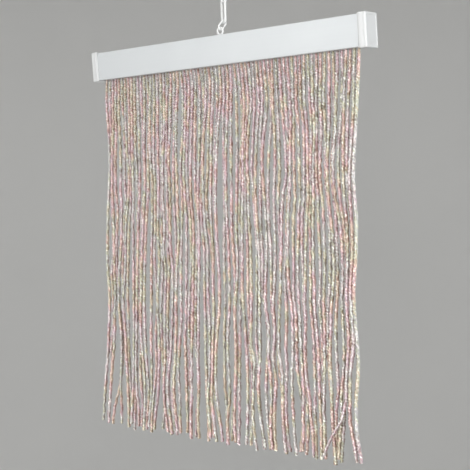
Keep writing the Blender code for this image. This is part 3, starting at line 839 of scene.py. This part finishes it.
def film_cord(line, shades, rng):
    """Rings, hues and unshaded shares of one strand: plies of crumpled film, laid round its line
    like a rope. The unshaded share is 1 on a crest and falls where shade is painted: into the
    valleys between the plies and onto the cord's two sides."""
    along, middle, free = cord_middle(line, rng)
    count = len(along)
    pitch = TWIST_PITCH * (1 + PITCH_PLAY * crumple(rng, count, 1, PITCH_RINGS)[:, 0])
    turn = rng.uniform(0, 2 * math.pi) + np.cumsum(2 * math.pi * (along[1] - along[0]) / pitch)
    full = ROOT_SHARE + (1 - ROOT_SHARE) * free
    full = full * (1 + FULLNESS_PLAY * crumple(rng, count, 1, FULLNESS_RINGS)[:, 0])
    section = [(2 * math.pi * (ply + at) / PLIES, share)
               for ply in range(PLIES) for at, share in PLY_SECTION]
    turns, shares = np.array(section).T
    points = len(section)
    angle = turn[:, None] + turns + PLY_TURN_PLAY * crumple(rng, count, points, PLY_RINGS)
    play = 1 + PLY_PLAY * crumple(rng, count, points, PLY_RINGS)
    radius = full[:, None] * CORD_RADIUS * shares * play
    around = np.stack([radius * np.cos(angle), radius * np.sin(angle), 0 * angle], axis=2)
    hue = cord_hues(count, points, rng)
    # Painted shade on the cord's two sides, where it faces its neighbours along the rail, and in
    # the valleys between its plies: the unshaded share falls there
    side = np.cos(angle)
    shade = np.where(side < 0, shades[0], shades[1]) * smooth(SIDE_FROM, SIDE_FULL, abs(side))
    unshaded_share = (1 - PLY_SHADE * (1 - shares) / (1 - shares.min())) * (1 - shade)
    return middle[:, None, :] + around, hue, unshaded_share


def cord_faces(rings, around, first):
    """Quads between neighbouring rings and one face over each cut end, pointing outwards."""
    ring = first + around * np.arange(rings - 1)[:, None]
    here = np.arange(around)
    after = (here + 1) % around
    corners = [ring + here, ring + around + here, ring + around + after, ring + after]
    quads = np.stack(corners, axis=2)
    top = list(range(first, first + around))
    last = first + around * (rings - 1)
    bottom = list(range(last + around - 1, last - 1, -1))
    return quads.reshape(-1, 4).tolist() + [top, bottom]


def make_strands(number, lines, shades, look, rng):
    """One piece of neighbouring strands, each a closed cord, with its hues and its painted-shade
    mask as attributes.
    """
    places, hues, folds, faces = [], [], [], []
    first = 0
    for line, shade in zip(lines, shades):
        rings, hue, unshaded_share = film_cord(line, shade, rng)
        faces += cord_faces(len(rings), rings.shape[1], first)
        first += rings.shape[0] * rings.shape[1]
        places.append(rings.reshape(-1, 3))
        hues.append(hue.reshape(-1))
        folds.append(unshaded_share.reshape(-1))
    mesh = bpy.data.meshes.new(f"film_strands_{number}")
    mesh.from_pydata(np.concatenate(places), [], faces)
    # The unshaded share is stored as an attribute, and the material paints shade where it is low
    for name, values in (("film_hue", hues), ("film_unshaded_share", folds)):
        attribute = mesh.attributes.new(name, "FLOAT", "POINT")
        attribute.data.foreach_set("value", np.concatenate(values).astype(np.float32))
    mesh.update()
    strands = bpy.data.objects.new(mesh.name, mesh)
    bpy.context.scene.collection.objects.link(strands)
    mesh.materials.append(look)
    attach(strands, "root")
    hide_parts("strand_curtain")


def make_strand_curtain(film, strip_look):
    """The strip and its strands in pieces of a few neighbours, with less painted side shade on
    the curtain's two outermost sides.
    """
    strip = make_strip()
    dress(strip, strip_look, ["strand_curtain"])
    rng = np.random.default_rng(STRAND_SEED)
    lines = strand_lines()
    for line in lines:
        line[0, 2] += ROOT_SUNK
    # Painted shade on each cord's two sides, weaker on the outer side of the first and last
    # strands
    shades = [[SIDE_SHADE, SIDE_SHADE] for _ in lines]
    shades[0][0] = shades[-1][1] = EDGE_SIDE_SHADE
    for number, start in enumerate(range(0, STRAND_COUNT, STRANDS_A_PIECE), 1):
        mine = slice(start, start + STRANDS_A_PIECE)
        make_strands(number, lines[mine], shades[mine], film, rng)


def tone(red, green, blue):
    """A colour as a screen shows it, from 0 to 255, as the shader's linear value, by the
    usual sRGB curve."""
    linear = [((part / 255 + 0.055) / 1.055) ** 2.4 for part in (red, green, blue)]
    return (*linear, 1)


def node(tree, kind, **inputs):
    """A shader node with its unlinked inputs set by name, an underscore standing for a space."""
    made = tree.nodes.new(kind)
    for name, value in inputs.items():
        made.inputs[name.replace("_", " ")].default_value = value
    return made


def math_node(tree, operation, first, second):
    """A Math node whose two inputs are numbers or other nodes' outputs. Gives its output."""
    made = tree.nodes.new("ShaderNodeMath")
    made.operation = operation
    for socket, value in zip(made.inputs, (first, second)):
        if isinstance(value, (int, float)):
            socket.default_value = value
        else:
            tree.links.new(value, socket)
    return made.outputs[0]


def plus(tree, first, second):
    return math_node(tree, "ADD", first, second)


def times(tree, first, second):
    return math_node(tree, "MULTIPLY", first, second)


def mix_colour(tree, blend, share, first, second):
    """A Mix node for colours. Sockets 0, 6 and 7 take its share and its two colours, which
    are values or other nodes' outputs."""
    made = tree.nodes.new("ShaderNodeMix")
    made.data_type = "RGBA"
    made.blend_type = blend
    for number, value in ((0, share), (6, first), (7, second)):
        if isinstance(value, (int, float, tuple)):
            made.inputs[number].default_value = value
        else:
            tree.links.new(value, made.inputs[number])
    return made.outputs[2]


def noise(tree, vector, scale, detail=2, stretch=(1, 1, 1)):
    """Noise from 0 to 1 in object space, with its own stretch."""
    place = node(tree, "ShaderNodeMapping", Scale=stretch)
    tree.links.new(vector, place.inputs["Vector"])
    made = node(tree, "ShaderNodeTexNoise", Scale=scale, Detail=detail)
    tree.links.new(place.outputs["Vector"], made.inputs["Vector"])
    return made.outputs["Fac"]


def new_group(name, inputs, outputs):
    tree = bpy.data.node_groups.new(name, "ShaderNodeTree")
    for label, kind, value in inputs:
        socket = tree.interface.new_socket(label, in_out="INPUT", socket_type=kind)
        socket.default_value = value
    for label, kind in outputs:
        tree.interface.new_socket(label, in_out="OUTPUT", socket_type=kind)
    return tree, tree.nodes.new("NodeGroupInput"), tree.nodes.new("NodeGroupOutput")


def plastic_skin_group():
    """Skin of white plastic: soft clouds, a fine grain and lines drawn along the rail."""
    inputs = [(label, "NodeSocketFloat", 0.5) for label in ("Clouds", "Grain", "Lines")]
    outputs = [(label, "NodeSocketFloat") for label in ("Shade", "Roughness", "Height")]
    tree, given, result = new_group("plastic_skin", inputs, outputs)
    place = tree.nodes.new("ShaderNodeTexCoord").outputs["Object"]
    clouds = times(tree, noise(tree, place, CLOUD_SCALE, 3), given.outputs["Clouds"])
    grain = times(tree, noise(tree, place, SKIN_GRAIN_SCALE), given.outputs["Grain"])
    drawn = noise(tree, place, LINES_SCALE, 3, LINES_STRETCH)
    lines = times(tree, drawn, given.outputs["Lines"])
    shade = plus(tree, clouds, times(tree, lines, LINES_SHADE))
    rough = plus(tree, times(tree, clouds, 0.5), times(tree, grain, 0.5))
    tree.links.new(shade, result.inputs["Shade"])
    tree.links.new(rough, result.inputs["Roughness"])
    tree.links.new(plus(tree, grain, lines), result.inputs["Height"])
    return tree


def use_group(tree, group, **inputs):
    made = tree.nodes.new("ShaderNodeGroup")
    made.node_tree = group
    for name, value in inputs.items():
        made.inputs[name].default_value = value
    return made


def new_material(name, **sockets):
    made = bpy.data.materials.new(name)
    made.use_nodes = True
    shader = made.node_tree.nodes["Principled BSDF"]
    for label, value in sockets.items():
        shader.inputs[label.replace("_", " ")].default_value = value
    return made, made.node_tree, shader


def add_bump(tree, shader, height, strength, distance):
    bump = node(tree, "ShaderNodeBump", Strength=strength, Distance=distance)
    tree.links.new(height, bump.inputs["Height"])
    tree.links.new(bump.outputs["Normal"], shader.inputs["Normal"])


def white_plastic(name, group):
    """White plastic of one piece, by its row in the table of whites."""
    light, shaded, roughness, clouds, grain, lines = WHITES[name]
    made, tree, shader = new_material(name, IOR=PLASTIC_IOR)
    skin = use_group(tree, group, Clouds=clouds, Grain=grain, Lines=lines)
    colour = mix_colour(tree, "MIX", skin.outputs["Shade"], tone(*light), tone(*shaded))
    tree.links.new(colour, shader.inputs["Base Color"])
    rough = times(tree, skin.outputs["Roughness"], SKIN_ROUGHNESS_PLAY)
    tree.links.new(plus(tree, rough, roughness), shader.inputs["Roughness"])
    add_bump(tree, shader, skin.outputs["Height"], SKIN_BUMP, SKIN_DEPTH)
    return made


def pastel_ramp(tree, hue):
    """Ring of the pearl's pastels, so that hue 1 meets hue 0. Gives its colour."""
    ramp = tree.nodes.new("ShaderNodeValToRGB")
    ramp.color_ramp.interpolation = "LINEAR"
    stops = ramp.color_ramp.elements
    while len(stops) < len(PEARL_TONES) + 1:
        stops.new(0.5)
    for number, stop in enumerate(stops):
        stop.position = number / len(PEARL_TONES)
        stop.color = tone(*PEARL_TONES[number % len(PEARL_TONES)][1:])
    tree.links.new(hue, ramp.inputs["Fac"])
    return ramp.outputs["Color"]


def film_play_group():
    """Play of colours of pearly film: a ring of pastels, shifted by fine noise and by facing as a
    painted iridescent sheen, with painted shade in its valleys and on its sides, random dark
    specks and painted glints on its crests."""
    inputs = [("Hue", "NodeSocketFloat", 0.5), ("Unshaded_Share", "NodeSocketFloat", 0.5),
              ("Facing", "NodeSocketFloat", 0.0)]
    outputs = [("Color", "NodeSocketColor"), ("Roughness", "NodeSocketFloat"),
               ("Height", "NodeSocketFloat")]
    tree, given, result = new_group("film_play", inputs, outputs)
    place = tree.nodes.new("ShaderNodeTexCoord").outputs["Object"]
    unshaded_share = given.outputs["Unshaded_Share"]
    fine = noise(tree, place, FINE_SCALE)
    broad = noise(tree, place, BROAD_SCALE)
    grain = noise(tree, place, GRAIN_SCALE, 1)
    shift = plus(tree, times(tree, fine, FINE_HUE_SHIFT),
                 times(tree, given.outputs["Facing"], FACING_HUE_SHIFT))
    hue = math_node(tree, "FRACT", plus(tree, given.outputs["Hue"], shift), 0)
    pastel = pastel_ramp(tree, hue)
    # Painted shade: the pastel is mixed towards the painted shade tone where the unshaded share
    # is low, in the valleys and on the sides, and in random specks from the broad and grain noise
    depth = plus(tree, times(tree, unshaded_share, FOLD_DEPTH), broad)
    deep = plus(tree, depth, times(tree, grain, GRAIN_DEPTH))
    pastel_share = math_node(tree, "SUBTRACT", deep, DEPTH_LEVEL + GRAIN_DEPTH / 2)
    shaded_pastel = mix_colour(tree, "MULTIPLY", 1.0, pastel, tone(*PAINTED_SHADE_TONE))
    film = mix_colour(tree, "MIX", pastel_share, shaded_pastel, pastel)
    # Painted glints: the brightest grain on the unshaded crests mixes the colour towards the
    # painted glint tone
    lifted = math_node(tree, "SUBTRACT", grain, GLINT_FROM)
    glint = times(tree, times(tree, lifted, GLINT_GAIN), unshaded_share)
    glint_share = math_node(tree, "MINIMUM", math_node(tree, "MAXIMUM", glint, 0), GLINT_SHARE)
    film_with_painted_glints = mix_colour(tree, "MIX", glint_share, film, tone(*PAINTED_GLINT_TONE))
    tree.links.new(film_with_painted_glints, result.inputs["Color"])
    rough = plus(tree, times(tree, fine, FILM_ROUGHNESS_PLAY), FILM_ROUGHNESS)
    tree.links.new(rough, result.inputs["Roughness"])
    crinkles = noise(tree, place, CRINKLE_SCALE, 2, CRINKLE_STRETCH)
    tree.links.new(crinkles, result.inputs["Height"])
    return tree


def film_material():
    """Pearly film: pastels under a clear gloss, a little metallic as mica pearl is."""
    made, tree, shader = new_material(
        "pearly_film", Metallic=FILM_METALLIC, IOR=PLASTIC_IOR, Coat_Weight=FILM_COAT,
        Coat_Roughness=FILM_COAT_ROUGHNESS, Thin_Film_Thickness=FILM_NANOMETRES,
        Thin_Film_IOR=FILM_IOR)
    play = use_group(tree, film_play_group())
    for label, name in (("Hue", "film_hue"), ("Unshaded_Share", "film_unshaded_share")):
        attribute = tree.nodes.new("ShaderNodeAttribute")
        attribute.attribute_name = name
        tree.links.new(attribute.outputs["Fac"], play.inputs[label])
    # Painted iridescent sheen: the hue moves with how far the normal faces FACING_WAY
    facing = tree.nodes.new("ShaderNodeVectorMath")
    facing.operation = "DOT_PRODUCT"
    facing.inputs[1].default_value = FACING_WAY
    geometry = tree.nodes.new("ShaderNodeNewGeometry")
    tree.links.new(geometry.outputs["Normal"], facing.inputs[0])
    tree.links.new(facing.outputs["Value"], play.inputs["Facing"])
    tree.links.new(play.outputs["Color"], shader.inputs["Base Color"])
    tree.links.new(play.outputs["Roughness"], shader.inputs["Roughness"])
    add_bump(tree, shader, play.outputs["Height"], CRINKLE_BUMP, CRINKLE_DEPTH)
    return made


def make_floor():
    """Plain pale floor that sweeps up all round, far below the hanging curtain."""
    deselect()
    bpy.ops.mesh.primitive_circle_add(vertices=96, radius=FLOOR_RADIUS, fill_type="NGON",
                                      location=(0, 0, FLOOR_HEIGHT))
    floor = bpy.context.object
    floor.name = "studio_floor"
    apply_place(floor)
    edit(floor)
    pick(floor, "EDGE", lambda edge: edge.is_boundary)
    reach = FLOOR_RADIUS
    run = FLOOR_SWEEP * math.pi / 2 / FLOOR_STEPS
    for step in range(FLOOR_STEPS):
        slope = (step + 0.5) / FLOOR_STEPS * math.pi / 2
        rise = run * math.sin(slope)
        wider = (reach + run * math.cos(slope)) / reach
        reach *= wider
        bpy.ops.mesh.extrude_region_move(TRANSFORM_OT_translate={"value": (0, 0, rise)})
        bpy.ops.transform.resize(value=(wider, wider, 1), center_override=(0, 0, 0))
    bpy.ops.mesh.extrude_region_move(TRANSFORM_OT_translate={"value": (0, 0, FLOOR_WALL)})
    leave()
    look, tree, shader = new_material("pale_floor", Roughness=FLOOR_ROUGHNESS)
    place = tree.nodes.new("ShaderNodeTexCoord").outputs["Object"]
    clouds = noise(tree, place, FLOOR_CLOUD_SCALE)
    colour = mix_colour(tree, "MIX", clouds, tone(*FLOOR_LIGHT), tone(*FLOOR_SHADED))
    tree.links.new(colour, shader.inputs["Base Color"])
    floor.data.materials.append(look)
    choose(floor)
    bpy.ops.object.shade_smooth()


def add_light(name, place, size, power, colour, target=LIGHT_AIM):
    """Soft square lamp that looks at the curtain's middle, or at another place."""
    lamp = bpy.data.lights.new(name, "AREA")
    lamp.size = size
    lamp.energy = power
    lamp.color = colour
    light = bpy.data.objects.new(name, lamp)
    bpy.context.scene.collection.objects.link(light)
    light.location = place
    aim = Vector(target) - Vector(place)
    light.rotation_euler = aim.to_track_quat("-Z", "Y").to_euler()


def make_studio():
    """Lamps on the curtain, lamps on the sweep, and a soft even world."""
    for name, place, size, power, colour in LIGHTS:
        add_light(name, place, size, power, colour)
    for number in range(WALL_LIGHTS):
        turn = CAMERA_TURN + 2 * math.pi * number / WALL_LIGHTS
        way = Vector((math.cos(turn), math.sin(turn), 0))
        place = way * WALL_LIGHT_REACH + Vector((0, 0, WALL_LIGHT_HEIGHT))
        add_light(f"wall_light_{number + 1}", place, WALL_LIGHT_SIZE, WALL_LIGHT_POWER,
                  (1, 1, 1), (FLOOR_RADIUS + FLOOR_SWEEP) * way)
    world = bpy.data.worlds.new("soft_studio")
    world.use_nodes = True
    background = world.node_tree.nodes["Background"]
    background.inputs["Color"].default_value = WORLD_COLOUR
    background.inputs["Strength"].default_value = WORLD_STRENGTH
    bpy.context.scene.world = world
    bpy.context.scene.view_settings.view_transform = "Standard"


def make_camera():
    data = bpy.data.cameras.new("photo_view")
    data.sensor_width = CAMERA_SENSOR
    data.lens = CAMERA_LENS
    data.shift_y = CAMERA_SHIFT
    data.clip_start = CAMERA_NEAR
    camera = bpy.data.objects.new("photo_view", data)
    bpy.context.scene.collection.objects.link(camera)
    camera.location = CAMERA_PLACE
    camera.rotation_euler = (math.pi / 2, 0, CAMERA_TURN)
    bpy.context.scene.camera = camera


def main():
    make_camera()
    skin = plastic_skin_group()
    rail, cap, hanger, strip = [white_plastic(name, skin) for name in WHITES]
    make_headrail(rail)
    make_cap(-1, cap)
    make_cap(1, cap)
    make_eye(hanger)
    make_chain(hanger)
    make_strand_curtain(film_material(), strip)
    make_floor()
    make_studio()


main()
